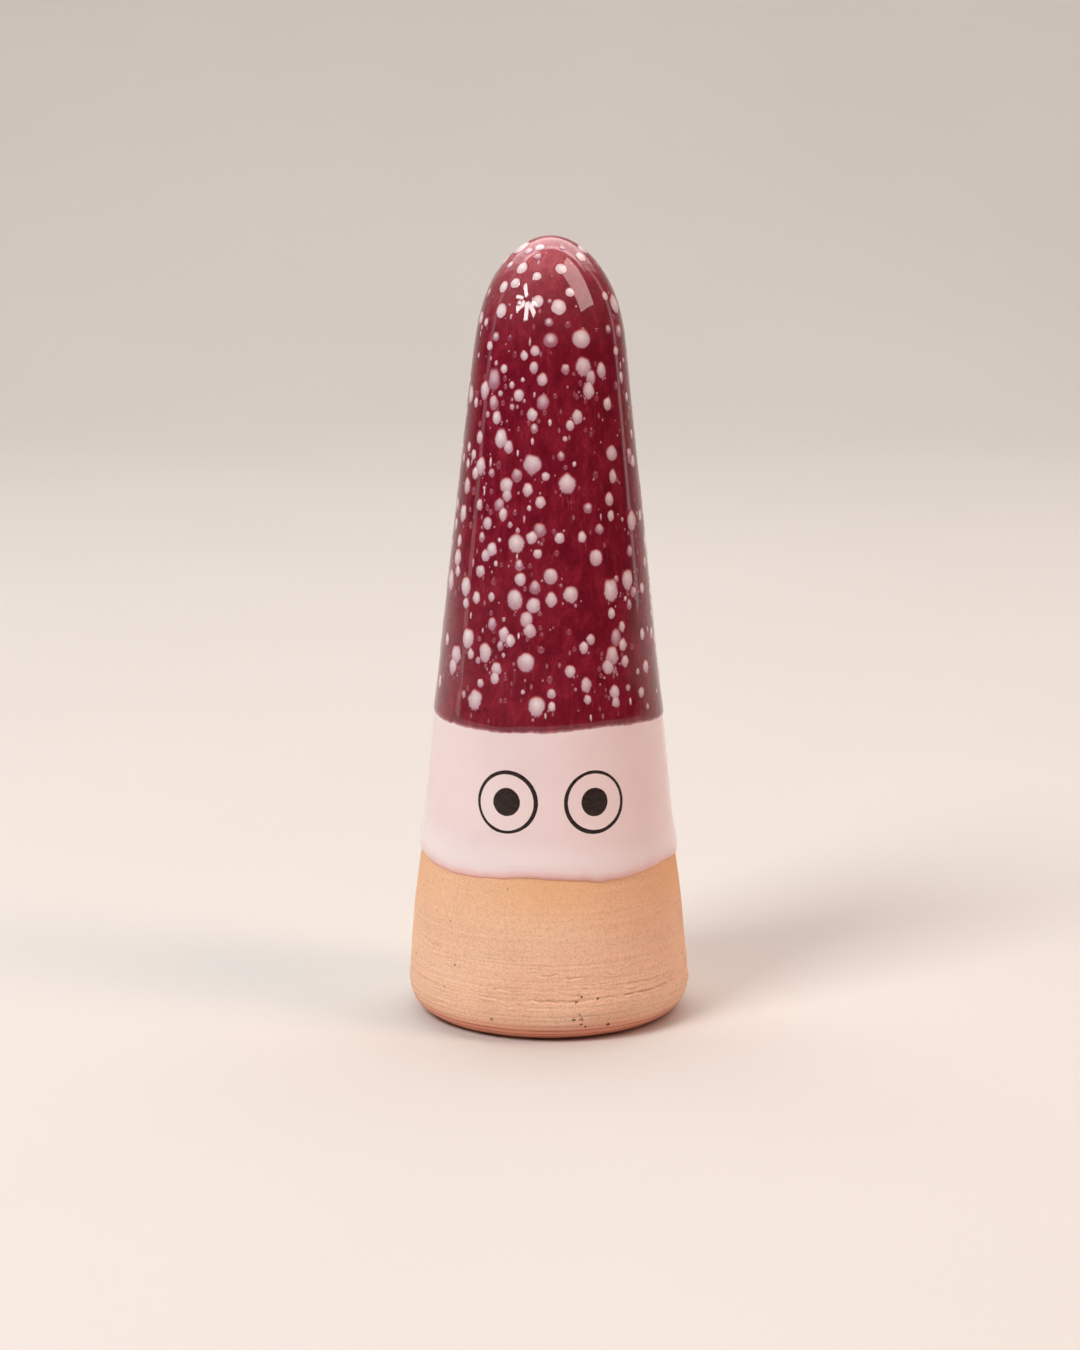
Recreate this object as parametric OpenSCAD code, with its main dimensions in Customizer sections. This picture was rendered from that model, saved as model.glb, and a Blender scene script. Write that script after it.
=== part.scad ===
// Hand-thrown ceramic gnome ornament: a closed hollow clay body with a bare foot, a white
// glazed face, a dark red glazed hat with white glaze drops, and two painted eyes.
// Millimetres, +Z up. It rests on z = 0 with its axis on the origin and its face towards -Y.

/* [Body] */
// Overall height, with the glaze
total_h = 137.3; // [125:0.1:160]
// Largest diameter, at the top of the rounded foot
base_d = 50; // [46:1:58]
// Clay diameter where the dome of the hat begins
shoulder_d = 25.2; // [22:0.2:30]
// Height of the dome that closes the hat
dome_h = 16.4; // [12:0.2:22]
// Radius of the rounded foot edge
foot_round = 5.9; // [3:0.1:8]
// Thickness of the thrown clay wall
wall_t = 4.5; // [3:0.25:6]
// Thickness of the clay floor
floor_t = 6; // [4:0.5:9]
// Diameter of the firing vent in the floor
vent_d = 3; // [2:0.25:3.75]

/* [Glaze coats] */
// Thickness of both glaze coats
glaze_t = 0.35; // [0.25:0.05:0.6]
// Mean height of the lower edge of the white glaze
white_edge_z = 29.1; // [28.5:0.1:32]
// Rise of that edge from its mean height towards the back
white_edge_tilt = 0.5; // [0:0.1:1]
// Height of the waves along that edge
white_edge_wave = 0.4; // [0:0.1:0.8]
// Mean height of the lower edge of the hat
hat_edge_z = 53.7; // [52:0.1:60]
// Rise of that edge from its mean height towards the face
hat_edge_tilt = 0.5; // [0:0.1:1]
// Height of the waves along that edge
hat_edge_wave = 0.4; // [0:0.1:0.8]

/* [Glaze drops] */
// Number of drops that are tried, the largest first
spot_tries = 300; // [100:10:400]
// Diameter of the largest drops
spot_max_d = 3.4; // [2.4:0.1:4]
// Diameter of the smallest drops
spot_min_d = 1.5; // [1:0.1:2]
// Least width of hat glaze between two drops
spot_gap = 0.45; // [0.3:0.05:2]
// Least distance from a drop to the hat's lower edge
spot_margin = 2; // [1:0.5:6]
// Depth of the drops in the hat glaze
spot_t = 0.15; // [0.1:0.01:0.2]
// Height of the drops' round tops above the hat glaze
spot_rise = 0.1; // [0.05:0.01:0.2]
// Number that picks another scatter of drops
spot_seed = 3; // [1:1:40]

/* [Eyes] */
// Height of the eye centres
eye_z = 42; // [41:0.25:43]
// Angle of each eye from the middle of the face
eye_angle = 20.7; // [19:0.1:26]
// Outer diameter of the drawn ring
eye_d = 10.9; // [8:0.1:12]
// Width of the drawn ring line
eye_line = 0.58; // [0.4:0.02:0.8]
// Diameter of the pupil dot
pupil_d = 4.9; // [3:0.1:5.5]
// Turn of each pupil outwards from its ring's centre
pupil_turn = 0.1; // [0:0.1:0.8]
// Depth of the paint in the white glaze
paint_t = 0.12; // [0.06:0.01:0.2]

/* [Hidden] */
$fn = 96;
foot_steps = 9;
dome_steps = 15;
edge_steps = 60;
body_h = total_h - glaze_t;
base_r = base_d / 2;
shoulder_r = shoulder_d / 2;
shoulder_z = body_h - dome_h;
taper = (base_r - shoulder_r) / (shoulder_z - foot_round);
taper_turn = atan(taper);
// Heights between which every coat profile starts and drops are scattered
coat_z = white_edge_z - white_edge_tilt - white_edge_wave - 1;
spot_low_z = hat_edge_z + hat_edge_tilt + hat_edge_wave + spot_margin + spot_max_d / 2;
spot_high_z = body_h - 0.9;
// How far cutters reach past the coats
reach = 2;

// Clay radius on the straight taper, also extended up into the dome
function taper_r(z) = shoulder_r + taper * (shoulder_z - z);
// Turn of the dome at a height, 0 at the shoulder and 90 at the apex
function dome_turn(z) = asin((z - shoulder_z) / dome_h);
function dome_z(f) = shoulder_z + dome_h * sin(f);
// Clay radius at any height above the foot
function body_r(z) = z <= shoulder_z ? taper_r(z) : taper_r(z) * cos(dome_turn(z));
// Tilt of the outward normal above the horizontal
function dome_tilt(f) = atan2(taper * dome_h * cos(f) * cos(f) + taper_r(dome_z(f)) * sin(f), dome_h * cos(f));
function body_tilt(z) = z <= shoulder_z ? taper_turn : dome_tilt(dome_turn(z));
// Profile points moved out from the clay along the normal
function side_point(z, out) = [taper_r(z) + out * cos(taper_turn), z + out * sin(taper_turn)];
function dome_point(f, out) =
    let (m = f < 90 ? dome_tilt(f) : 90)
    [taper_r(dome_z(f)) * cos(f) + out * cos(m), dome_z(f) + out * sin(m)];
function dome_points(out) = [for (i = [0 : dome_steps]) dome_point(90 * i / dome_steps, out)];
function reversed(list) = [for (i = [len(list) - 1 : -1 : 0]) list[i]];

// Heights of the wavy glaze edges by the angle from the middle of the face
function white_edge(a) = white_edge_z - white_edge_tilt * cos(a) + white_edge_wave * cos(5 * (a + 8));
function hat_edge(a) = hat_edge_z + hat_edge_tilt * cos(a - 10) + hat_edge_wave * cos(3 * (a - 35));

// Scatter of drops, each as [angle, height, diameter], with no two closer than the gap
function noise(i, k) =
    let (v = sin(i * 127.1 + k * 311.7 + spot_seed * 74.7) * 43758.5453)
    v - floor(v);
function spot_size(i) = spot_min_d + (spot_max_d - spot_min_d) * pow(1 - i / spot_tries, 1.6);
function spot_try(i) = [360 * noise(i, 1), spot_low_z + (spot_high_z - spot_low_z) * noise(i, 2), spot_size(i)];
function spot_at(s) = [body_r(s[1]) * sin(s[0]), -body_r(s[1]) * cos(s[0]), s[1]];
function spot_keeps_share(i, s) = noise(i, 3) < taper_r(s[1]) / taper_r(spot_low_z);
function spot_clear(s, kept) =
    len([for (k = kept) if (norm(spot_at(k) - spot_at(s)) < (k[2] + s[2]) / 2 + spot_gap) 1]) == 0;
function scatter(i, kept) =
    i >= spot_tries ? kept :
    let (s = spot_try(i))
    scatter(i + 1, spot_keeps_share(i, s) && spot_clear(s, kept) ? concat(kept, [s]) : kept);
spots = scatter(0, []);

// Sets children on the clay surface with +Z along its outward normal
module on_surface(angle, z) {
    rotate([0, 0, angle])
        translate([0, -body_r(z), z])
            rotate([90 - body_tilt(z), 0, 0])
                children();
}

// A revolved layer from one distance off the clay to another, up to the apex
module layer(inside, outside) {
    rotate_extrude()
        polygon(concat(
            [side_point(coat_z, inside)],
            dome_points(inside),
            reversed(dome_points(outside)),
            [side_point(coat_z, outside)]
        ));
}

// Everything under a wavy edge that is given by its heights around the axis
module under_edge(heights) {
    n = edge_steps;
    far_r = base_d;
    near_r = 1;
    function around(r, z) = [for (i = [0 : n - 1]) [r * sin(360 * i / n), -r * cos(360 * i / n), z[i]]];
    low = [for (i = [0 : n - 1]) -reach];
    corners = concat(around(near_r, heights), around(far_r, heights), around(far_r, low), around(near_r, low));
    faces = [
        for (i = [0 : n - 1], b = [0 : 3])
            let (j = (i + 1) % n, c = (b + 1) % 4)
            each [
                [b * n + i, b * n + j, c * n + j],
                [b * n + i, c * n + j, c * n + i]
            ]
    ];
    polyhedron(points = corners, faces = faces);
}

module under_white_edge() {
    under_edge([for (i = [0 : edge_steps - 1]) white_edge(360 * i / edge_steps)]);
}

module under_hat_edge() {
    under_edge([for (i = [0 : edge_steps - 1]) hat_edge(360 * i / edge_steps)]);
}

// The outer part of the white coat that the paint takes up, and the space over it
module paint_layer() {
    layer(glaze_t - paint_t, glaze_t + reach);
}

// A flat-bottomed drop with a round top, level with the hat glaze at its rim
module drop(d) {
    cap_r = (d * d / 4 + spot_rise * spot_rise) / (2 * spot_rise);
    rotate_extrude()
        intersection() {
            translate([0, spot_rise - cap_r])
                circle(r = cap_r, $fn = 256);
            translate([0, -spot_t])
                square([d / 2, spot_t + spot_rise]);
        }
}

module spot_pockets() {
    for (s = spots)
        on_surface(s[0], s[1])
            translate([0, 0, glaze_t - spot_t])
                cylinder(d = s[2], h = reach);
}

module ring_pocket(side) {
    intersection() {
        paint_layer();
        on_surface(side * eye_angle, eye_z)
            translate([0, 0, -eye_d / 4])
                difference() {
                    cylinder(d = eye_d, h = eye_d / 2);
                    translate([0, 0, -1])
                        cylinder(d = eye_d - 2 * eye_line, h = eye_d / 2 + 2);
                }
    }
}

module pupil_pocket(side) {
    intersection() {
        paint_layer();
        on_surface(side * (eye_angle + pupil_turn), eye_z)
            translate([0, 0, -pupil_d / 4])
                cylinder(d = pupil_d, h = pupil_d / 2);
    }
}

module clay_body() {
    foot = [
        for (i = [0 : foot_steps])
            let (f = 90 * i / foot_steps)
            [base_r - foot_round + foot_round * sin(f), foot_round - foot_round * cos(f)]
    ];
    color([0.86, 0.64, 0.51])
        difference() {
            rotate_extrude()
                polygon(concat([[0, 0]], foot, dome_points(0)));
            rotate_extrude()
                polygon(concat([[0, floor_t], [taper_r(floor_t) - wall_t, floor_t]], dome_points(-wall_t)));
            translate([0, 0, -1])
                cylinder(d = vent_d, h = floor_t + 2);
        }
}

module white_glaze() {
    color([0.92, 0.83, 0.8])
        difference() {
            intersection() {
                layer(0, glaze_t);
                under_hat_edge();
            }
            under_white_edge();
            for (side = [-1, 1]) {
                ring_pocket(side);
                pupil_pocket(side);
            }
        }
}

module hat_glaze() {
    color([0.43, 0.05, 0.12])
        difference() {
            layer(0, glaze_t);
            under_hat_edge();
            spot_pockets();
        }
}

module glaze_spots() {
    color([0.84, 0.72, 0.75])
        for (s = spots)
            on_surface(s[0], s[1])
                translate([0, 0, glaze_t])
                    drop(s[2]);
}

module left_eye_ring() {
    color([0.09, 0.06, 0.05])
        intersection() {
            layer(0, glaze_t);
            ring_pocket(-1);
        }
}

module left_pupil() {
    color([0.09, 0.06, 0.05])
        intersection() {
            layer(0, glaze_t);
            pupil_pocket(-1);
        }
}

module right_eye_ring() {
    color([0.09, 0.06, 0.05])
        intersection() {
            layer(0, glaze_t);
            ring_pocket(1);
        }
}

module right_pupil() {
    color([0.09, 0.06, 0.05])
        intersection() {
            layer(0, glaze_t);
            pupil_pocket(1);
        }
}

clay_body();
white_glaze();
hat_glaze();
glaze_spots();
left_eye_ring();
left_pupil();
right_eye_ring();
right_pupil();
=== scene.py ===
import math

import bpy
import numpy as np
from mathutils import Euler, Matrix, Vector


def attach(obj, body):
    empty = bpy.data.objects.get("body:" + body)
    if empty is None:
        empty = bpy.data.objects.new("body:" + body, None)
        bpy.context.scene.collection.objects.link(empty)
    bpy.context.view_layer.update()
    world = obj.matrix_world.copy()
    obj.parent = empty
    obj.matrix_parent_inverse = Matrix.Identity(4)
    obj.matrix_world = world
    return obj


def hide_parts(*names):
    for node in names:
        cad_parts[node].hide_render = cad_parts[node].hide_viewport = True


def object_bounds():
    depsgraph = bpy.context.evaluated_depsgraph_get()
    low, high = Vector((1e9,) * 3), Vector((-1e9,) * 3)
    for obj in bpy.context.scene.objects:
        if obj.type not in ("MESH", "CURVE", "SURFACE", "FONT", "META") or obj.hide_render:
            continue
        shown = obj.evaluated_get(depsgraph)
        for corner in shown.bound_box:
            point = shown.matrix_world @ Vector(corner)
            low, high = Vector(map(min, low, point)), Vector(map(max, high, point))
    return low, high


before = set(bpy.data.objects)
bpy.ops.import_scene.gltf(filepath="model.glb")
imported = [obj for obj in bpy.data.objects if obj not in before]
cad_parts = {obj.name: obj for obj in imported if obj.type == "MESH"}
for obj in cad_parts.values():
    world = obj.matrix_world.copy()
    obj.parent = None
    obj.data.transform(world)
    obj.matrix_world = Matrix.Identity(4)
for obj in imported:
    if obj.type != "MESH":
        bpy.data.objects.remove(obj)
cad_low, cad_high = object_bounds()

MM = 0.001


def in_mm(metres):
    """Metres to millimetres, to a tenth, because the frame's meshes are faceted."""
    return round(metres / MM, 1)


# Sizes of the CAD part in millimetres and degrees: two from the frame, the others as its source has them
TOTAL_H = in_mm(cad_high[2] - cad_low[2])
BASE_R = in_mm(cad_high[0] - cad_low[0]) / 2
SHOULDER_R = 12.6
DOME_H = 16.4
FOOT_ROUND = 5.9
WALL_T = 4.5
FLOOR_T = 6.0
VENT_R = 1.5
GLAZE_T = 0.35
BODY_H = TOTAL_H - GLAZE_T
SHOULDER_Z = BODY_H - DOME_H
TAPER = (BASE_R - SHOULDER_R) / (SHOULDER_Z - FOOT_ROUND)
# Lower edge of each coat: mean height, tilt and height of its waves
WHITE_EDGE = (29.1, 0.5, 0.4)
HAT_EDGE = (53.7, 0.5, 0.4)
SPOT_TRIES = 300
SPOT_MAX_D = 3.4
SPOT_MIN_D = 1.5
SPOT_GAP = 0.45
SPOT_MARGIN = 2.0
SPOT_SEED = 3
EYE_Z = 42.0
EYE_ANGLE = 20.7
EYE_R = 5.45
EYE_LINE = 0.58
PUPIL_R = 2.45
PUPIL_TURN = 0.1

# The photo shows the face turned a little to the right
FACE_TURN = 1.0

# Height above which the clay is covered by the white coat all round
COVERED_Z = 33.0
# Mean radius of the bare clay
BARE_R = 24.0
# Direction of the relief on the straight side, outwards and upwards
SIDE_OUT = (0.994, 0.104)
# How far the clay lies below the coats, so that it doesn't show through them
SUNK = 0.03
# Extra thickness of the rolled lower lip of each coat
WHITE_ROLL = 0.24
HAT_ROLL = 0.14

# Above the first height drops stay round and have no partners, and above the second the CAD part's are crisp
DOME_Z = 118.0
CRISP_Z = 122.0
# Drops over the first size get a fine mesh and a ragged edge, those over the second a middling mesh
BIG_D = 1.25
SMALL_D = 0.44

# Columns of points around the coats and around the clay
COLUMNS = 540
CLAY_COLUMNS = 720


# Numbers

def smooth(x):
    """Eased step from 0 to 1."""
    x = np.clip(x, 0, 1)
    return x * x * (3 - 2 * x)


def bell(x, middle, width):
    """Bell curve that is 1 at its middle."""
    return np.exp(-((x - middle) / width) ** 2)


def turn_from(angle, middle):
    """Angle from a middle, between -180 and 180 degrees."""
    return (angle - middle + 180) % 360 - 180


def noise_table(seed):
    rng = np.random.RandomState(seed)
    return rng.permutation(256), rng.uniform(-1, 1, 256)


def ring_noise(angle, z, cell_deg, cell_mm, seed):
    """Smooth noise from -1 to 1 on a surface around the axis, with no seam after a full turn."""
    turn, value = noise_table(seed)
    columns = max(3, int(round(360 / cell_deg)))
    u = np.mod(angle, 360) / 360 * columns
    v = z / cell_mm + 512
    i = np.floor(u).astype(int)
    j = np.floor(v).astype(int)
    fu = smooth(u - i)
    fv = smooth(v - j)

    def at(di, dj):
        return value[turn[(turn[((i + di) % columns) % 256] + j + dj) % 256]]

    low = at(0, 0) * (1 - fu) + at(1, 0) * fu
    high = at(0, 1) * (1 - fu) + at(1, 1) * fu
    return low * (1 - fv) + high * fv


def turn_noise(angle, cell_deg, seed):
    """Smooth noise from -1 to 1 around the axis, the same at every height."""
    return ring_noise(angle, 0 * angle, cell_deg, 1, seed)


def line_noise(x, seed):
    """Smooth noise from -1 to 1 along a line."""
    turn, value = noise_table(seed)
    i = np.floor(x).astype(int)
    f = smooth(x - i)
    return value[turn[i % 256]] * (1 - f) + value[turn[(i + 1) % 256]] * f


# The thrown form

def taper_r(z):
    """Radius of the straight side, carried on past both its ends."""
    return SHOULDER_R + TAPER * (SHOULDER_Z - z)


def thrown(z):
    """Slight waves that the potter's hands left in the outline."""
    waves = ((0.22, 20, 6.5), (-0.12, 37, 6), (-0.14, 7, 3), (0.07, 80, 14), (-0.16, 123, 4))
    return sum(height * bell(z, middle, width) for height, middle, width in waves)


def lean(z):
    """Slight sideways wander of the axis, at the top, the waist and the foot."""
    return 0.14 * smooth((z - 108) / 16) - 0.09 * bell(z, 68, 22) + 0.15 * bell(z, 5, 6)


def body_r(z):
    """Radius of the clay above the foot's rounding."""
    z = np.asarray(z, float)
    up = np.clip((z - SHOULDER_Z) / DOME_H, 0, 1)
    r = taper_r(z) * np.sqrt(1 - up * up)
    return r + thrown(z) * np.clip(r / 8, 0, 1)


def profile_table():
    """The clay's outline from the foot to the apex: length along it, radius, height and outward normal."""
    steps = 500
    z_side = np.linspace(FOOT_ROUND, SHOULDER_Z, steps)[:-1]
    turn = np.radians(np.linspace(0, 90, steps))
    z = np.concatenate([z_side, SHOULDER_Z + DOME_H * np.sin(turn)])
    r = body_r(z)
    s = np.concatenate([[0], np.cumsum(np.hypot(np.diff(r), np.diff(z)))])
    dr = np.gradient(r, s)
    dz = np.gradient(z, s)
    dr[-1], dz[-1] = -1.0, 0.0
    length = np.hypot(dr, dz)
    return s, r, z, dz / length, -dr / length


P_S, P_R, P_Z, P_NR, P_NZ = profile_table()
APEX_S = P_S[-1]


def s_of_z(z):
    return np.interp(z, P_Z, P_S)


def z_of_s(s):
    return np.interp(s, P_S, P_Z)


SHOULDER_S = s_of_z(SHOULDER_Z)


def on_form(angle, s, out):
    """Points at an angle and a length along the outline, a distance out from the clay, in millimetres."""
    r = np.interp(s, P_S, P_R) + out * np.interp(s, P_S, P_NR)
    z = np.interp(s, P_S, P_Z) + out * np.interp(s, P_S, P_NZ)
    a = np.radians(angle)
    return np.stack([r * np.sin(a) + lean(z), -r * np.cos(a), z], -1)


def ragged(a, waves):
    """Small waves of a glaze edge, from the height, the cell in degrees and the seed of each."""
    return sum(height * turn_noise(a, cell_deg, seed) for height, cell_deg, seed in waves)


def white_edge(a):
    """Height of the white coat's lower edge."""
    mean, tilt, wave = WHITE_EDGE
    t = np.radians(a)
    even = mean - tilt * np.cos(t) + wave * np.cos(5 * (t + math.radians(8)))
    return even + ragged(a, ((0.16, 12, 31), (0.1, 4, 32), (0.05, 1.6, 33)))


def hat_edge(a):
    """Height of the hat's lower edge."""
    mean, tilt, wave = HAT_EDGE
    t = np.radians(a)
    even = mean + tilt * np.cos(t - math.radians(10)) + wave * np.cos(3 * (t - math.radians(35)))
    return even + ragged(a, ((0.12, 10, 41), (0.08, 3.2, 42), (0.05, 1.3, 43)))


def round_lip(x):
    """Quarter round from 0 to 1."""
    return np.sqrt(1 - (1 - np.clip(x, 0, 1)) ** 2)


def white_coat(a, z):
    """Thickness of the white coat, with a rolled lower lip, and thinner under the hat."""
    d = np.maximum(0, z - white_edge(a))
    roll = GLAZE_T + WHITE_ROLL * bell(d, 2.2, 2.8)
    wander = 0.016 * ring_noise(a, z, 40, 9, 51) + 0.004 * ring_noise(a, z, 16, 4, 52)
    under_hat = smooth((z - hat_edge(a)) / 1.2)
    return round_lip(d / 1.4) * (roll + wander) - 0.2 * under_hat


def hat_coat(a, s):
    """Thickness of the hat's coat, with a low roll along its lower edge."""
    d = np.maximum(0, z_of_s(s) - hat_edge(a))
    reach = 0.85 + 0.3 * turn_noise(a, 24, 63)
    roll = HAT_ROLL * smooth(d / reach) * bell(np.maximum(0, d - reach), 0, 3.6)
    wander = 0.02 * ring_noise(a, s, 30, 8, 61) + 0.006 * ring_noise(a, s, 10, 3, 62)
    wander = wander * smooth((APEX_S - s) / 8) * smooth(d / 3)
    return 0.33 + 0.05 * round_lip(d / 0.12) + roll - 0.03 * smooth((d - 5) / 9) + wander


# Meshes

def put_in_scene(name, data):
    thing = bpy.data.objects.new(name, data)
    bpy.context.scene.collection.objects.link(thing)
    return thing


def new_piece(name, points_mm, faces, material, **attributes):
    mesh = bpy.data.meshes.new(name)
    mesh.from_pydata((np.asarray(points_mm) * MM).tolist(), [], faces)
    for key, values in attributes.items():
        layer = mesh.attributes.new(key, "FLOAT", "POINT")
        layer.data.foreach_set("value", np.asarray(values, np.float32))
    mesh.polygons.foreach_set("use_smooth", np.ones(len(mesh.polygons), bool))
    mesh.materials.append(material)
    mesh.update()
    return put_in_scene(name, mesh)


def ring_faces(rows, columns, close=False):
    """Quads between rings of points, seen from outside when rows run downwards."""
    faces = []
    for i in range(rows if close else rows - 1):
        a = i * columns
        b = (i + 1) % rows * columns
        for c in range(columns):
            e = (c + 1) % columns
            faces.append((a + c, b + c, b + e, a + e))
    return faces


def cap_faces(rows, columns):
    """Fans that close the first and the last ring with the two points that follow the rings."""
    last = (rows - 1) * columns
    apex = rows * columns
    crown = apex + 1
    faces = []
    for c in range(columns):
        e = (c + 1) % columns
        faces.append((apex, c, e))
        faces.append((crown, last + e, last + c))
    return faces


def lens_faces(start, rings, spokes):
    """Faces of a lens: a middle point, the rings around it, and a point below that closes it."""
    edge = start + 1 + (rings - 1) * spokes
    under = edge + spokes
    faces = []
    for c in range(spokes):
        e = (c + 1) % spokes
        faces.append((start, start + 1 + c, start + 1 + e))
        for p in range(start + 1, edge, spokes):
            q = p + spokes
            faces.append((p + c, q + c, q + e, p + e))
        faces.append((under, edge + e, edge + c))
    return faces


def angles(columns=COLUMNS):
    return np.arange(columns) * 360 / columns - 180


# Materials

def shade(x):
    """Linear value of an 8-bit display value."""
    x = x / 255.0
    return x / 12.92 if x <= 0.04045 else ((x + 0.055) / 1.055) ** 2.4


def rgb(r, g, b):
    return (shade(r), shade(g), shade(b), 1.0)


class Nodes:
    """Adds nodes to one material and joins them."""

    def __init__(self, name):
        self.material = bpy.data.materials.new(name)
        self.material.use_nodes = True
        self.tree = self.material.node_tree
        self.shader = self.tree.nodes["Principled BSDF"]
        self.coords = self.tree.nodes.new("ShaderNodeTexCoord")

    def put(self, socket, value):
        if isinstance(value, bpy.types.NodeSocket):
            self.tree.links.new(value, socket)
        else:
            socket.default_value = value

    def add(self, kind, **inputs):
        node = self.tree.nodes.new(kind)
        for name, value in inputs.items():
            self.put(node.inputs[name], value)
        return node.outputs[0]

    def space(self, x=1.0, y=1.0, z=1.0):
        return self.add("ShaderNodeMapping", Vector=self.coords.outputs["Object"], Scale=(x, y, z))

    def noise(self, space, scale, detail=3.0, roughness=0.55, distortion=0.0):
        return self.add("ShaderNodeTexNoise", Vector=space, Scale=scale, Detail=detail, Roughness=roughness,
                        Distortion=distortion)

    def cells(self, space, scale):
        return self.add("ShaderNodeTexVoronoi", Vector=space, Scale=scale)

    def ramp(self, value, stops):
        node = self.tree.nodes.new("ShaderNodeValToRGB")
        self.put(node.inputs[0], value)
        elements = node.color_ramp.elements
        while len(elements) < len(stops):
            elements.new(0.5)
        for element, (place, colour) in zip(elements, stops):
            element.position = place
            element.color = colour if isinstance(colour, tuple) else (colour, colour, colour, 1.0)
        return node.outputs[0]

    def mix(self, factor, a, b, blend="MIX"):
        node = self.tree.nodes.new("ShaderNodeMix")
        node.data_type = "RGBA"
        node.blend_type = blend
        self.put(node.inputs[0], factor)
        self.put(node.inputs[6], a)
        self.put(node.inputs[7], b)
        return node.outputs[2]

    def math(self, operation, a, b, clamp=False):
        node = self.tree.nodes.new("ShaderNodeMath")
        node.operation = operation
        node.use_clamp = clamp
        self.put(node.inputs[0], a)
        self.put(node.inputs[1], b)
        return node.outputs[0]

    def times(self, a, b, clamp=False):
        return self.math("MULTIPLY", a, b, clamp)

    def stirred(self, value, noise, strength):
        """A value with a noise around its middle added."""
        return self.math("ADD", value, self.times(self.math("SUBTRACT", noise, 0.5), strength))

    def tinted(self, colour, tint):
        return self.mix(1.0, colour, tint, "MULTIPLY")

    def value(self, name):
        node = self.tree.nodes.new("ShaderNodeAttribute")
        node.attribute_name = name
        return node.outputs["Fac"]

    def bump(self, height, distance_mm, strength, under=None):
        node = self.tree.nodes.new("ShaderNodeBump")
        node.inputs["Strength"].default_value = strength
        node.inputs["Distance"].default_value = distance_mm * MM
        self.put(node.inputs["Height"], height)
        if under is not None:
            self.put(node.inputs["Normal"], under)
        return node.outputs[0]

    def finish(self, **sockets):
        for key, value in sockets.items():
            self.put(self.shader.inputs[key.replace("_", " ")], value)
        return self.material


def hat_colour(n):
    """Mottled dark red of the hat's glaze, drawn out downwards by the melt."""
    broad = n.noise(n.space(z=0.5), 430, detail=4, roughness=0.62, distortion=0.4)
    fine = n.noise(n.space(z=0.6), 2300, roughness=0.6)
    red = n.ramp(broad, [
        (0.28, (0.130, 0.0034, 0.0130, 1)),
        (0.46, (0.178, 0.0060, 0.0192, 1)),
        (0.60, (0.228, 0.0106, 0.0270, 1)),
        (0.76, (0.290, 0.0220, 0.0400, 1)),
    ])
    return n.tinted(red, n.ramp(fine, [(0.3, 0.78), (0.7, 1.18)]))


def melt_ripple(n):
    """Slight unevenness of the melted surface, the same on the hat's coat and on its drops."""
    return n.bump(n.noise(n.space(z=0.8), 260, detail=2), 0.04, 0.35)


def hat_material():
    n = Nodes("red_glaze_hat")
    # Small milky specks and short streaks between the drops, in patches
    patches = n.noise(n.space(z=0.7), 150, detail=2)
    room = n.ramp(patches, [(0.42, 0), (0.58, 1)])
    drawn = n.noise(n.space(z=0.13), 1500, detail=2, roughness=0.5)
    streaks = n.times(n.ramp(drawn, [(0.63, 0), (0.74, 1)]), room)
    cells = n.cells(n.space(z=0.5), 560)
    specks = n.times(n.ramp(cells, [(0.06, 1), (0.17, 0)]), room)
    colour = n.mix(n.times(streaks, 0.30), hat_colour(n), rgb(170, 84, 100))
    colour = n.mix(n.times(specks, 0.55), colour, rgb(200, 152, 166))
    # Painted sheen, a milky pink standing in for the reflection of the light from above and from the left:
    # over the dome and, thinner, low on the left
    haze = n.noise(n.space(z=0.7), 900, roughness=0.6)
    milky = n.times(n.value("veil"), n.ramp(haze, [(0.3, 0.7), (0.7, 1.3)]), clamp=True)
    colour = n.mix(milky, colour, rgb(224, 134, 142))
    # Thin translucent rim along the lower edge
    colour = n.mix(n.value("rim"), colour, rgb(206, 146, 158))
    rough = n.ramp(n.noise(n.space(), 700), [(0.3, 0.03), (0.7, 0.06)])
    return n.finish(Base_Color=colour, Roughness=rough, Normal=melt_ripple(n), IOR=1.52)


def drop_material():
    n = Nodes("white_glaze_drops")
    cloud = n.noise(n.space(z=0.8), 2800, roughness=0.65)
    # Cloudy, but clear of milk where the drop has thinned out
    clear = n.ramp(n.value("milk"), [(0, 0), (0.12, 1)])
    milk = n.times(n.stirred(n.value("milk"), cloud, 0.18), clear, clamp=True)
    # Lilac where the drop is thin below, and rusty along its upper edge
    white = rgb(248, 241, 243)
    lilac = n.ramp(milk, [
        (0.25, rgb(145, 62, 79)), (0.4, rgb(161, 98, 116)), (0.5, rgb(174, 124, 141)),
        (0.65, rgb(199, 163, 174)), (0.88, rgb(227, 207, 210)), (1, white),
    ])
    rusty = n.ramp(milk, [
        (0.25, rgb(160, 58, 66)), (0.4, rgb(183, 96, 100)),
        (0.65, rgb(215, 166, 163)), (0.88, rgb(230, 204, 203)), (1, white),
    ])
    body = n.mix(n.value("rust"), lilac, rusty)
    colour = n.mix(n.ramp(milk, [(0, 0), (0.26, 1)]), hat_colour(n), body)
    rough = n.ramp(cloud, [(0.3, 0.04), (0.7, 0.08)])
    return n.finish(Base_Color=colour, Roughness=rough, Normal=melt_ripple(n), IOR=1.52)


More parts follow.
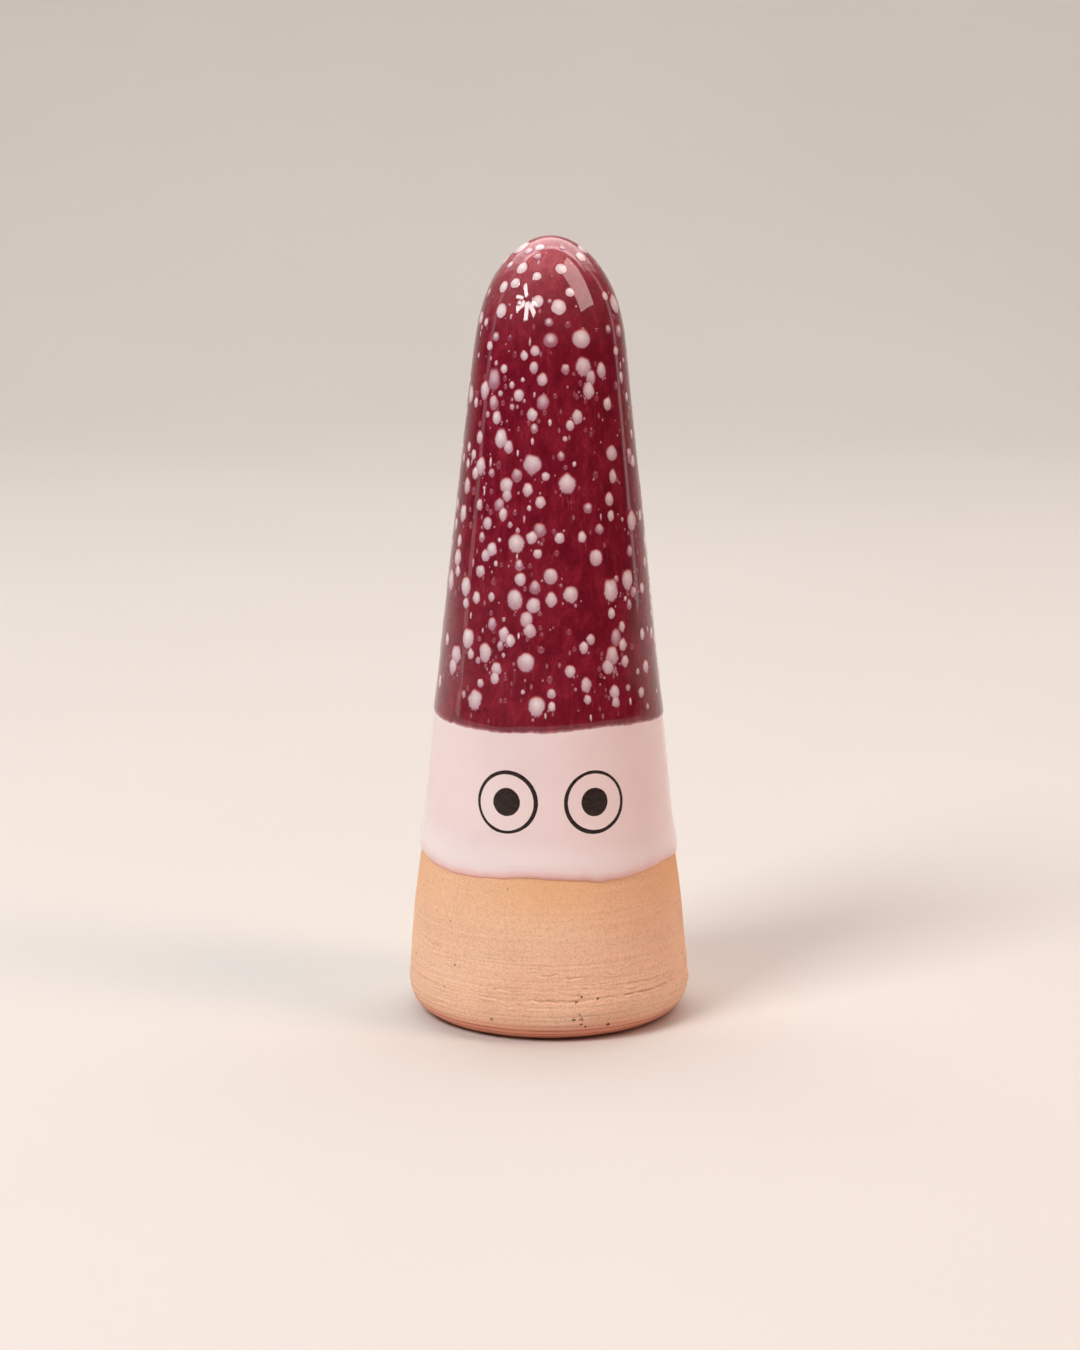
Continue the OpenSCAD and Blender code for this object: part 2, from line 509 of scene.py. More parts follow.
def white_material():
    n = Nodes("white_glaze_face")
    cloud = n.noise(n.space(z=1.6), 110, detail=2, roughness=0.5)
    # Pale pink: partly the glaze's own tint, partly a painted red bounce light
    colour = n.ramp(cloud, [(0.3, rgb(242, 220, 220)), (0.7, rgb(245, 224, 224))])
    # Painted highlight: a paler band along the rolled lower lip
    colour = n.mix(n.times(n.value("full"), 0.7), colour, rgb(248, 235, 235))
    # Clay that shows through where the coat thins out along its lower edge
    thin = n.ramp(n.value("rim"), [(0, 0), (0.4, 0.14), (0.75, 0.5), (1, 0.9)])
    colour = n.mix(thin, colour, rgb(237, 168, 158))
    # A few pinholes
    holes = n.ramp(n.cells(n.space(), 230), [(0.02, 1), (0.05, 0)])
    rare = n.ramp(n.noise(n.space(), 90), [(0.58, 0), (0.64, 1)])
    colour = n.mix(n.times(n.times(holes, rare), 0.4), colour, rgb(180, 128, 116))
    normal = n.bump(n.noise(n.space(), 150, detail=1), 0.04, 0.25)
    rough = n.ramp(cloud, [(0.3, 0.05), (0.7, 0.08)])
    return n.finish(Base_Color=colour, Roughness=rough, Normal=normal, IOR=1.5)


def clay_marks(n, clay):
    """The clay's colour with rare iron specks, and the dark flecks on the foot."""
    iron = n.ramp(n.cells(n.space(), 310), [(0.04, 1), (0.09, 0)])
    rare = n.ramp(n.noise(n.space(), 260, detail=1), [(0.60, 0), (0.66, 1)])
    clay = n.mix(n.times(n.times(iron, rare), 0.6), clay, rgb(112, 70, 52))
    crumbly = n.noise(n.space(z=1.4), 2300, detail=2, roughness=0.6, distortion=0.6)
    fleck = n.stirred(n.value("dirt"), crumbly, 2.2)
    return n.mix(n.ramp(fleck, [(0.72, 0), (0.86, 0.9)]), clay, rgb(46, 34, 32))


def clay_material():
    n = Nodes("bare_terracotta_clay")
    trim = n.value("trim")
    lines = n.noise(n.space(x=0.3, y=0.3, z=13), 130, detail=5, roughness=0.68)
    cloud = n.noise(n.space(), 70, detail=4, roughness=0.6)
    grain = n.noise(n.space(z=1.4), 2300, roughness=0.7)
    clay = n.ramp(cloud, [(0.25, rgb(243, 193, 158)), (0.5, rgb(249, 202, 168)), (0.75, rgb(252, 210, 178))])
    # Trimming lines, stronger towards the foot, and the sandy grain
    faint = n.ramp(lines, [(0.3, 0.945), (0.72, 1.055)])
    strong = n.ramp(lines, [(0.3, 0.90), (0.5, 1.045), (0.72, 1.095)])
    clay = n.tinted(clay, n.mix(trim, faint, strong))
    sand = n.ramp(grain, [(0.28, (0.80, 0.73, 0.68, 1)), (0.5, 1), (0.72, (1.07, 1.12, 1.16, 1))])
    clay = n.tinted(clay, sand)
    # Pinker towards the foot, warmer below the glaze, and redder on the shaved bevel under the foot, where
    # the red is a painted bounce light
    clay = n.mix(n.times(trim, 0.45), clay, n.tinted(clay, (1.01, 1.02, 1.08, 1.0)))
    warm = n.times(n.value("flash"), n.ramp(cloud, [(0.3, 0.45), (0.7, 1)]))
    clay = n.mix(n.times(warm, 0.95), clay, rgb(240, 181, 120))
    clay = n.mix(n.times(n.value("bevel"), 0.85), clay, rgb(244, 161, 134))
    # Painted shade in the grooves between the bevel's ridges
    clay = n.mix(n.times(n.value("ridge"), 0.7), clay, rgb(190, 102, 82))
    # Painted shadow inside the torn grooves, and a painted highlight on their raised lips
    clay = n.mix(n.times(n.value("tear"), 0.36), clay, rgb(186, 112, 88))
    clay = n.mix(n.times(n.value("crumb"), 0.7), clay, rgb(254, 220, 191))
    clay = clay_marks(n, clay)
    depth = n.math("ADD", n.times(trim, 0.7), 0.3)
    normal = n.bump(n.times(lines, depth), 0.34, 0.85, under=n.bump(grain, 0.20, 0.85))
    rough = n.ramp(grain, [(0.3, 0.78), (0.7, 0.92)])
    return n.finish(Base_Color=clay, Roughness=rough, Normal=normal, Specular_IOR_Level=0.25)


def ink_material():
    n = Nodes("black_eye_paint")
    strokes = n.noise(n.space(x=0.7, z=2.6), 900, roughness=0.6)
    ink = n.ramp(strokes, [(0.35, rgb(28, 15, 13)), (0.6, rgb(42, 24, 20)), (0.8, rgb(84, 46, 38))])
    rough = n.ramp(strokes, [(0.3, 0.2), (0.7, 0.4)])
    normal = n.bump(strokes, 0.03, 0.4)
    return n.finish(Base_Color=ink, Roughness=rough, Normal=normal, Specular_IOR_Level=0.4)


def floor_material():
    n = Nodes("pale_floor")
    cloud = n.noise(n.space(), 6, detail=2)
    colour = n.ramp(cloud, [(0.3, rgb(211, 208, 204)), (0.7, rgb(214, 211, 207))])
    return n.finish(Base_Color=colour, Roughness=0.9, Specular_IOR_Level=0.1)


# Clay body

def hand_wander(a, z, strength):
    """How far the lines of a turning tool stray from the level."""
    return strength * ring_noise(a, z, 60, 16, 71) + 0.03 * ring_noise(a, z, 16, 6, 72)


def clay_relief(a, z):
    """Throwing and trimming lines of the bare clay, as distances out from the form."""
    level = z + hand_wander(a, z, 0.16)
    low = smooth((22 - z) / 15)
    mask = 0.5 + 0.5 * ring_noise(a, z, 30, 2.4, 73)
    fine = 0.7 * line_noise(level / 0.34, 74) + 0.8 * line_noise(level / 0.7, 75)
    fine = fine + 0.9 * line_noise(level / 2.1, 76)
    relief = 0.046 * (0.16 + 0.84 * low) * (0.5 + 0.5 * mask) * fine
    relief -= 0.07 * smooth((line_noise(level / 0.5, 77) - 0.35) / 0.35) * low * (0.35 + 0.65 * mask)
    return relief + 0.05 * ring_noise(a, z, 60, 10, 78) + 0.010 * ring_noise(a, z, 2.0, 0.5, 79)


def bevel_ridges(a, z):
    """Ridges that the shaving tool left in the bevel under the foot, from -1 to 1."""
    arc = FOOT_ROUND * np.arccos(np.clip(1 - z / FOOT_ROUND, 0, 1)) + hand_wander(a, z, 0.10)
    ridges = 0.7 * np.sin(arc * 2 * np.pi / 1.1) + 0.5 * line_noise(arc / 0.55, 80)
    return ridges * smooth((4.4 - z) / 1.4) * (0.75 + 0.25 * ring_noise(a, z, 14, 1.5, 82))


# Torn grooves on the side of the face: first and last angle, first and last height
TORN = (
    (-31, -14, 8, 7.5), (-9, 17, 8, 7.5), (4, 17, 9, 8.5), (19, 68, 8, 8), (21, 66, 10, 9.5),
    (-24, -18, 9.5, 9.5), (-66, -48, 15, 15),
)
# Dark flecks on the side of the face: angle, height and size
FLECKS = (
    (12, 9, 0.30), (13, 8.5, 0.34), (11, 7.5, 0.28), (20, 8, 0.28), (12, 5.5, 0.32), (13, 4.5, 0.44),
    (10, 4.5, 0.34), (13, 3.5, 0.32), (15, 3, 0.30), (25, 3, 0.36), (-24, 4, 0.38), (-42, 12.5, 0.26),
    (-22, 12, 0.22), (-46, 20, 0.22), (-18, 27, 0.22), (-38, 26, 0.20),
)


def torn_places(rng):
    """The grooves of the face, long ones behind, and short shallow tears all round, each with its depth."""
    places = [place + (rng.uniform(0.17, 0.28),) for place in TORN]

    def tear(first, height, length, slant, depth):
        places.append((first, first + length, height, height + slant, depth))

    for _ in range(20):
        start = (rng.uniform(74, 240), rng.uniform(5.5, 14))
        tear(*start, rng.uniform(14, 44), rng.uniform(-0.4, 0.4), rng.uniform(0.20, 0.34))
    for _ in range(110):
        start = (rng.uniform(-180, 180), 4.5 + 10 * rng.rand() ** 1.3)
        tear(*start, rng.uniform(3, 16), rng.uniform(-0.2, 0.2), rng.uniform(0.05, 0.16))
    return places


def torn_grooves(a, z):
    """Ragged grooves, with a raised lower lip, where the trimming tool tore the clay."""
    rng = np.random.RandomState(5)
    relief = np.zeros_like(a + z)

    def frayed(cell_deg):
        return turn_noise(a, cell_deg, rng.randint(200, 400))

    for first, last, low, high, depth in torn_places(rng):
        width = rng.uniform(0.11, 0.16)
        off = turn_from(a, 0.5 * (first + last)) / (0.5 * (last - first))
        window = smooth((1 - np.abs(off)) / 0.3)
        torn = 0.3 + 0.7 * smooth(0.4 + 0.9 * frayed(2.2))
        crumbs = smooth(0.3 + 1.1 * frayed(1.6))
        line = 0.5 * (low + high) + 0.5 * (high - low) * off + 0.16 * frayed(3.4)
        line = line + 0.06 * frayed(1.5)
        relief -= depth * window * torn * bell(z, line, width)
        relief += 0.8 * depth * window * crumbs * bell(z, line - 2 * width, 1.2 * width)
    return relief


def pits(a, z):
    """Small open pits, and where the dark flecks lie."""
    rng = np.random.RandomState(9)
    relief = np.zeros_like(a + z)
    dirt = np.zeros_like(a + z)
    # Angle, height, size, depth and darkness of each
    holes = []
    for _ in range(100):
        place = (rng.uniform(-180, 180), rng.uniform(3, 28))
        holes.append(place + (rng.uniform(0.16, 0.3), rng.uniform(0.05, 0.12), 0.0))
    holes += [fleck + (0.04, 0.85) for fleck in FLECKS]
    for _ in range(12):
        holes.append((rng.uniform(70, 300), rng.uniform(3.5, 24), rng.uniform(0.24, 0.36), 0.04, 0.75))
    for angle, height, size, depth, dark in holes:
        across = np.radians(turn_from(a, angle)) * BARE_R
        hit = np.exp(-(across ** 2 + (z - height) ** 2) / size ** 2)
        relief -= depth * hit
        dirt = np.maximum(dirt, dark * smooth(hit * 1.5))
    return relief, dirt


def clay_rows():
    """Rings of the clay from the apex down the outside, under the foot, and up the vent and the inside.

    Each has its radius, its height, the direction of its relief, and whether the clay is bare there."""
    rows = []

    def row(r, z, nr=0.0, nz=0.0, bare=False):
        rows.append((float(r), float(z), nr, nz, bare))

    # Coarse under the coats, and fine where the clay is bare
    for f in np.linspace(84, 0, 15):
        z = SHOULDER_Z + DOME_H * math.sin(math.radians(f))
        row(body_r(z), z)
    for z in np.linspace(SHOULDER_Z, COVERED_Z, 24)[1:]:
        row(body_r(z), z)
    for z in np.arange(COVERED_Z - 1.2, FOOT_ROUND, -0.13):
        row(body_r(z), z, *SIDE_OUT, True)
    for f in np.linspace(90, 0, 72):
        t = math.radians(f)
        z = FOOT_ROUND * (1 - math.cos(t))
        row(BASE_R - FOOT_ROUND + (FOOT_ROUND + thrown(z)) * math.sin(t), z, math.sin(t), -math.cos(t), True)
    # Resting face, firing vent, floor and inside wall, with the vent's edges broken
    chamfer = 0.2
    for r in np.linspace(BASE_R - FOOT_ROUND, VENT_R + chamfer, 12)[1:]:
        row(r, 0.0)
    row(VENT_R, chamfer)
    row(VENT_R, FLOOR_T - chamfer)
    for r in np.linspace(VENT_R + chamfer, taper_r(FLOOR_T) - WALL_T, 8):
        row(r, FLOOR_T)
    for z in np.linspace(FLOOR_T + 0.4, SHOULDER_Z, 14):
        row(taper_r(z) - WALL_T, z)
    for f in np.linspace(8, 84, 12):
        s = s_of_z(SHOULDER_Z + DOME_H * math.sin(math.radians(f)))
        x, _, z = on_form(90.0, s, -WALL_T)
        row(x - lean(z), z)
    return rows


def clay_body(material):
    a = angles(CLAY_COLUMNS)
    rows = clay_rows()
    r, z, nr, nz, bare = (np.array(column)[:, None] for column in zip(*rows))
    grid = np.broadcast_to(a, (len(rows), CLAY_COLUMNS))
    height = np.broadcast_to(z, grid.shape)
    pit, dirt = pits(grid, height)
    torn = torn_grooves(a[None, :], z)
    ridges = bevel_ridges(grid, height)
    relief = clay_relief(grid, height) + 0.12 * ridges + torn + pit
    relief = relief * bare * smooth(height / 0.7)
    relief = relief - SUNK * smooth((height - white_edge(grid)) / 0.6) * bare
    covered = ~bare & (z > COVERED_Z - 2) & (r > 8)
    radius = r + relief * nr - SUNK * covered
    level = np.where(z <= 0, 0, height + relief * nz)
    t = np.radians(grid)
    points = np.stack([radius * np.sin(t) + lean(level), -radius * np.cos(t), level], -1).reshape(-1, 3)
    ceiling = BODY_H - WALL_T
    points = np.vstack([points, [[lean(BODY_H), 0, BODY_H - SUNK], [lean(ceiling), 0, ceiling]]])
    faces = ring_faces(len(rows), CLAY_COLUMNS) + cap_faces(len(rows), CLAY_COLUMNS)

    def spread(values):
        """Values from 0 to 1 for all the points, with 0 for the two that close the ends."""
        return np.concatenate([np.clip(np.broadcast_to(values, grid.shape), 0, 1).ravel(), [0.0, 0.0]])

    flash = smooth((height - 16) / 12) * (0.6 + 0.4 * ring_noise(grid, height, 40, 9, 81))
    return new_piece(
        "thrown_clay_body", points, faces, material,
        flash=spread(flash),
        dirt=spread(dirt * bare),
        trim=spread(smooth((19 - height) / 13)),
        # Painted red bounce light on the shaved bevel
        bevel=spread(smooth((4.4 - height) / 3.2)),
        # Painted shade in the grooves between the bevel's ridges
        ridge=spread(-1.3 * ridges * bare),
        # Painted shadow in the torn grooves and a painted highlight on their raised lips
        tear=spread(-torn / 0.24 * bare),
        crumb=spread(torn / 0.12 * bare),
    )


# Glaze coats

def white_glaze(material):
    a = angles()
    low = white_edge(a)
    high = hat_edge(a)
    # Rings close together at the lower lip and under the hat's edge
    lip = (0, 0.02, 0.06, 0.12, 0.2, 0.3, 0.42, 0.56, 0.75, 1.0, 1.4, 1.9, 2.5, 3.2, 4, 5, 6.2, 7.5)
    tucked = (-0.7, -0.4, -0.2, 0.0, 0.2, 0.5, 0.9, 1.3)
    heights = [low + d for d in lip]
    heights += [low + lip[-1] + (high - low - lip[-1] - 1.0) * t for t in np.linspace(0, 1, 26)[1:]]
    heights += [high + d for d in tucked]
    heights = heights[::-1]
    points = [on_form(a, s_of_z(z), white_coat(a, z)) for z in heights]
    inner = [on_form(a, s_of_z(z), -0.02) for z in (low, low + 8, high - 4, high + tucked[-1])]
    # Where the coat thins out, and the band along its full lower lip that gets a painted highlight
    thin = 2.3 + 0.4 * turn_noise(a, 5, 91)
    rim = [np.clip(1 - (z - low) / thin, 0, 1) for z in heights]
    full = [bell(z, low + 3.4, 2.6 + 0.5 * turn_noise(a, 30, 94)) for z in heights]
    hidden = [0 * a] * len(inner)
    faces = ring_faces(len(points) + len(inner), COLUMNS, close=True)
    return new_piece("white_glaze_coat", np.concatenate(points + inner), faces, material,
                     rim=np.concatenate(rim + hidden), full=np.concatenate(full + hidden))


def veil(a, z):
    """How strong the painted sheen on the hat's glaze is, a milky pink standing in for reflected light: over
    the dome, most on the left, and thinly low on the left.
    """
    left = bell(turn_from(a, -42), 0, 38)
    top = 0.22 * smooth((z - 129) / 5) + 0.10 * smooth((z - 117) / 13)
    top = top + 0.12 * left * smooth((z - 122) / 8)
    low = 0.04 * left * smooth((92 - z) / 26)
    return (top + low) * (0.9 + 0.25 * ring_noise(a, z, 24, 7, 93))


def hat_glaze(material):
    a = angles()
    low = hat_edge(a)
    s_low = s_of_z(low)
    # Rings close together at the lower lip, then evened out to level ones
    lip = (0, 0.03, 0.08, 0.15, 0.25, 0.4, 0.6, 0.9, 1.3, 1.8, 2.5, 3.3, 4.2)
    lengths = [s_of_z(low + d) for d in lip]
    start = lengths[-1]
    level = s_of_z(62.0)
    lengths += [start + (level - start) * t for t in np.linspace(0, 1, 9)[1:]]
    lengths += [s + 0 * a for s in np.linspace(level, SHOULDER_S, 80)[1:]]
    lengths += [s + 0 * a for s in np.linspace(SHOULDER_S, APEX_S - 0.25, 60)[1:]]
    lengths = lengths[::-1]
    points = [on_form(a, s, hat_coat(a, s)) for s in lengths]
    inside = 0.1
    inner = [on_form(a, s, inside) for s in (s_low + 0.15, s_low + 20, SHOULDER_S + 0 * a)]
    inner += [on_form(a, s + 0 * a, inside) for s in np.linspace(SHOULDER_S, APEX_S - 0.5, 10)[1:]]
    ends = [[[lean(BODY_H), 0, BODY_H + GLAZE_T], [lean(BODY_H), 0, BODY_H + inside]]]
    rows = len(points) + len(inner)
    faces = ring_faces(rows, COLUMNS) + cap_faces(rows, COLUMNS)
    # The translucent rim, and the painted sheen, which is full at the apex
    edge = 0.5 + 0.2 * turn_noise(a, 4, 92)
    rim = [0.85 * smooth(1 - (s - s_low) / edge) for s in lengths]
    milky = [veil(a, z_of_s(s)) for s in lengths]
    hidden = [0 * a] * len(inner)
    return new_piece("hat_glaze_coat", np.concatenate(points + inner + ends), faces, material,
                     rim=np.concatenate(rim + hidden + [np.zeros(2)]),
                     veil=np.concatenate(milky + hidden + [np.full(2, 0.34)]))


# Glaze drops

def spot_noise(i, k):
    """The CAD source's own noise from 0 to 1."""
    v = math.sin(math.radians(i * 127.1 + k * 311.7 + SPOT_SEED * 74.7)) * 43758.5453
    return v - math.floor(v)


def main_drops():
    """The CAD part's own scatter of drops: angle, height and diameter."""
    low = sum(HAT_EDGE) + SPOT_MARGIN + SPOT_MAX_D / 2
    high = BODY_H - 0.9
    kept = []
    at = []
    for i in range(SPOT_TRIES):
        angle = 360 * spot_noise(i, 1)
        z = low + (high - low) * spot_noise(i, 2)
        d = SPOT_MIN_D + (SPOT_MAX_D - SPOT_MIN_D) * (1 - i / SPOT_TRIES) ** 1.6
        if spot_noise(i, 3) >= taper_r(z) / taper_r(low):
            continue
        up = max(0.0, (z - SHOULDER_Z) / DOME_H)
        r = taper_r(z) * math.sqrt(1 - up * up)
        t = math.radians(angle)
        p = np.array([r * math.sin(t), -r * math.cos(t), z])
        if all(np.linalg.norm(p - q) >= (d + k[2]) / 2 + SPOT_GAP for q, k in zip(at, kept)):
            kept.append((angle, z, d))
            at.append(p)
    return kept


def place_of(angle, z):
    return on_form(angle, s_of_z(z), 0.0)


def crowd(angle, z):
    """How thickly the drops lie at a place, from 0 to 1: in loose groups, most of them left of the face."""

    def patch(middle, half_turn, middle_z, half_height):
        return math.exp(-((angle - middle) / half_turn) ** 2 - ((z - middle_z) / half_height) ** 2)

    groups = 0.5 + 0.5 * float(ring_noise(angle, z, 40, 14, 101))
    thick = 0.7 * patch(-20, 26, 86, 26)
    upper = 0.28 * patch(5, 50, 111, 10)
    bare = 0.3 * patch(22, 14, 84, 22)
    return min(1.0, max(0.0, 0.1 + 0.5 * groups + thick + upper - bare))


class Scatter:
    """Drops kept so far, and a test for room between them."""

    def __init__(self, seed):
        self.rng = np.random.RandomState(seed)
        self.drops = []
        self.where = np.zeros((0, 3))
        self.sizes = np.zeros(0)

    def keep(self, angle, z, d, kind):
        self.drops.append((angle, z, d, kind))
        self.where = np.vstack([self.where, place_of(angle, z)])
        self.sizes = np.append(self.sizes, d)

    def has_room(self, angle, z, d, gap, apart_from=-1):
        away = np.linalg.norm(self.where - place_of(angle, z), axis=1) - (self.sizes + d) / 2
        if apart_from >= 0:
            away[apart_from] = np.inf
        return bool(np.all(away > gap))

    def fill(self, count, low_d, high_d, gap, kinds, sharp=1.0):
        """Scatters drops between those kept, thicker in some parts than in others."""
        rng = self.rng
        low = HAT_EDGE[0] + 2.6
        high = BODY_H - 1.2
        while count > 0:
            angle = rng.uniform(-180, 180)
            z = rng.uniform(low, high)
            d = low_d + (high_d - low_d) * rng.rand() ** 1.7
            if rng.rand() > taper_r(z) / taper_r(low) * crowd(angle, z) ** sharp:
                continue
            if self.has_room(angle, z, d, gap):
                self.keep(angle, z, d, kinds[rng.randint(len(kinds))])
                count -= 1

    def beside(self, i, d, turn, reach, kind, gap):
        """Puts a drop next to drop number i, at a turn from the level and a distance."""
        angle, z, _, _ = self.drops[i]
        side = reach * math.cos(math.radians(turn))
        up = reach * math.sin(math.radians(turn))
        z2 = z + up * (1.0 if z < SHOULDER_Z else 0.7)
        angle2 = angle + math.degrees(side / max(4, float(body_r(min(z2, BODY_H - 1)))))
        if HAT_EDGE[0] + 2.5 < z2 < BODY_H - 1.5 and self.has_room(angle2, z2, d, gap, i):
            self.keep(angle2, z2, d, kind)

    def add_partners(self):
        """Drops that ran into larger ones from below."""
        rng = self.rng
        for i in range(len(self.drops)):
            _, z, d, _ = self.drops[i]
            if d > 1.8 and z < DOME_Z and rng.rand() < 0.42:
                d2 = d * rng.uniform(0.65, 0.98)
                turn = rng.uniform(-140, -40)
                self.beside(i, d2, turn, 0.5 * (d + d2) * rng.uniform(0.78, 0.98), "solid", 0.1)

    def add_clusters(self):
        """Bubbles and dots around some of the larger drops."""
        rng = self.rng
        for i in range(len(self.drops)):
            _, z, d, _ = self.drops[i]
            if d < 1.9 or z > DOME_Z:
                continue
            if rng.rand() < 0.35:
                for _ in range(rng.randint(2, 6)):
                    size = rng.uniform(0.4, 0.9)
                    turn = rng.uniform(-200, 20)
                    self.beside(i, size, turn, 0.5 * (d + size) + rng.uniform(0.1, 0.9), "bubble", -0.05)
            if rng.rand() < 0.42:
                for _ in range(rng.randint(2, 6)):
                    size = rng.uniform(0.16, 0.5)
                    turn = rng.uniform(-175, -5)
                    self.beside(i, size, turn, 0.5 * d + rng.uniform(0.3, 1.3), "dot", 0.02)


def all_drops():
    """The CAD part's drops, with partners that ran into them, lesser drops, streaks, bubbles and dots."""
    field = Scatter(23)
    for angle, z, d in main_drops():
        kind = "crisp"
        if z <= CRISP_Z:
            kind = "solid" if field.rng.rand() < 0.90 else ("ringed", "soft")[field.rng.randint(2)]
        field.keep(angle, z, d, kind)
    # Each lot: count, least and largest size, least gap, and kinds
    field.fill(30, 1.9, 3.6, 0.15, ("solid", "solid", "solid", "soft"), sharp=3.0)
    field.add_partners()
    field.fill(110, 1.35, 2.2, 0.2, ("solid", "solid", "solid", "ringed", "soft"))
    field.fill(110, 0.55, 1.2, 0.12, ("solid", "solid", "bubble"))
    field.fill(75, 0.7, 1.3, 0.08, ("bubble",))
    field.fill(45, 0.5, 0.85, 0.25, ("streak",))
    field.add_clusters()
    field.fill(120, 0.14, 0.42, 0.02, ("dot",))
    return field.drops


def drop_points(angle, z, across, along, rise):
    """Points of a drop from offsets in its tangent plane, laid back on the hat's coat."""
    s0 = float(s_of_z(z))
    t = math.radians(angle)
    nr = np.interp(s0, P_S, P_NR)
    nz = np.interp(s0, P_S, P_NZ)
    side = np.array([math.cos(t), math.sin(t), 0.0])
    up = np.array([-nz * math.sin(t), nz * math.cos(t), nr])
    flat = place_of(angle, z) + across[:, None] * side + along[:, None] * up
    flat[:, 0] -= lean(flat[:, 2])
    a = np.degrees(np.arctan2(flat[:, 0], -flat[:, 1]))
    r = np.hypot(flat[:, 0], flat[:, 1])
    # The nearest place on the outline, in a few steps along it
    s = s0 + along
    for _ in range(4):
        out_r = r - np.interp(s, P_S, P_R)
        out_z = flat[:, 2] - np.interp(s, P_S, P_Z)
        s = np.clip(s - out_r * np.interp(s, P_S, P_NZ) + out_z * np.interp(s, P_S, P_NR), 0, APEX_S)
    return on_form(a, s, hat_coat(a, s) + rise)


# Each kind of drop: milkiness of its middle and of its lower rim, and how far the fade between them reaches
DROP_KINDS = {
    "crisp": (1.0, 0.78, 1.10),
    "solid": (0.95, 0.58, 1.20),
    "ringed": (0.95, 0.46, 0.75),
    "soft": (0.82, 0.45, 0.95),
    "streak": (1.0, 0.60, 1.20),
    # A bubble's small, high white middle is a painted highlight
    "bubble": (0.66, 0.30, 0.34),
    "dot": (0.72, 0.40, 1.00),
}


def drop_detail(d):
    """Rings and spokes of a drop's mesh, and how far it thins out past its own edge."""
    if d > BIG_D:
        return 13, 60, 0.18 + 0.08 * (d - BIG_D)
    if d > SMALL_D:
        return 8, 24, 0.14
    return 4, 12, 0.1


def drop_outline(rng, reach, kind, dome, share, turn):
    """Offsets of a drop's points: a wobbly round, mostly taller than wide, that sags or has a tip."""
    wobble = 0.02 if dome else 0.045
    outline = 1 + sum(rng.uniform(0, wobble) * np.cos(k * turn + rng.uniform(0, 6.28)) for k in (2, 3, 4, 5))
    tall = rng.uniform(0.96, 1.12) if dome else rng.uniform(1.02, 1.30)
    if kind == "streak":
        tall = rng.uniform(1.9, 3.0)
    sag = 0.0 if dome else rng.choice([0.0, 0.05, 0.12, 0.3])
    tip = 0.0 if dome or sag > 0.1 else rng.choice([0.0, 0.0, 0.1, 0.25])
    x = share * outline * np.cos(turn) * reach / math.sqrt(tall)
    y = share * outline * np.sin(turn) * reach * math.sqrt(tall)
    x = x * (1 - 0.8 * sag * np.clip(-y / reach, 0, 1) ** 2)
    x = x * (1 - 0.8 * tip * np.clip(y / reach, 0, 1) ** 2)
    return x, np.where(y < 0, y * (1 + sag), y * (1 + tip))


def drop_milk(kind, share, turn, side, lift, scallop):
    """Milkiness of a drop: whitest above its middle, with a soft upper and a crisp lower edge; on a bubble
    the small white spot high up is a painted highlight.
    """
    middle, rim, fade = DROP_KINDS[kind]
    up = np.sin(turn)
    core = np.hypot(share * np.cos(turn) - side, share * up - lift)
    body = rim + (middle - rim) * (1 - smooth(core / fade))
    soft = smooth(0.5 + 0.9 * up)
    return body * (1 - smooth((share * scallop - 0.76 + 0.18 * soft) / (0.16 + 0.24 * soft)))


def drop_tints(rng, big, kind, dome, share, turn):
    """Milkiness and rustiness of a drop's points, with a scalloped lower edge on large ones."""
    up = np.sin(turn)
    side, lift = (0.05 if dome else 0.12) * rng.uniform(-1, 1, 2)
    # A bubble's white spot sits high, as a painted highlight
    lift = 0.4 if kind == "bubble" else lift + (0.14 if dome else 0.28)
    start = rng.uniform(0, 6.28)
    lobes = np.abs(np.sin(0.5 * rng.randint(11, 18) * turn + 0.9 * np.sin(2 * turn + start) + start))
    fringe = rng.uniform(0.02, 0.16) if big and not dome else 0.0
    ragged_edge = 0.025 * rng.uniform(-1, 1, len(turn)) * big
    scallop = 1 + fringe * (0.6 - lobes) * smooth(0.5 - up) + ragged_edge
    milk = drop_milk(kind, share, turn, side, lift, scallop) * rng.uniform(0.9 if big else 0.7, 1.0)
    milk = milk * (1 + 0.07 * rng.uniform(-1, 1, len(turn)) * share * (big and not dome))
    milk[-1] = 0.0
    rust = rng.uniform(0.45, 1.0) * smooth((share * up - 0.25) / 0.45)
    return milk, rust


def glaze_drops(material):
    rng = np.random.RandomState(17)
    points, faces, milk, rust = [], [], [], []
    start = 0

    def with_ends(middle, rings, under):
        return np.concatenate([[middle], rings.ravel(), [under]])

    for angle, z, d, kind in all_drops():
        dome = z > DOME_Z
        rings, spokes, thinning = drop_detail(d)
        turn = np.arange(spokes) * 2 * np.pi / spokes
        share = (np.arange(1, rings + 1) / rings)[:, None]
        x, y = drop_outline(rng, d / 2 + thinning, kind, dome, share, turn)
        peak = 0.025 + 0.022 * d
        rise = np.broadcast_to(peak * (1 - share ** 2) ** 1.2 - 0.012 * share ** 6, x.shape)
        milky, rusty = drop_tints(rng, d > BIG_D, kind, dome, share, turn)
        across = with_ends(0, x, 0)
        along = with_ends(0, y, 0)
        points.append(drop_points(angle, z, across, along, with_ends(peak, rise, -0.07)))
        milk.append(with_ends(milky[0].mean(), milky, 0))
        rust.append(with_ends(0, rusty, 0))
        faces += lens_faces(start, rings, spokes)
        start += rings * spokes + 2
    return new_piece("melted_glaze_drops", np.concatenate(points), faces, material,
                     milk=np.concatenate(milk), rust=np.concatenate(rust))


# Eyes

INK_T = 0.024


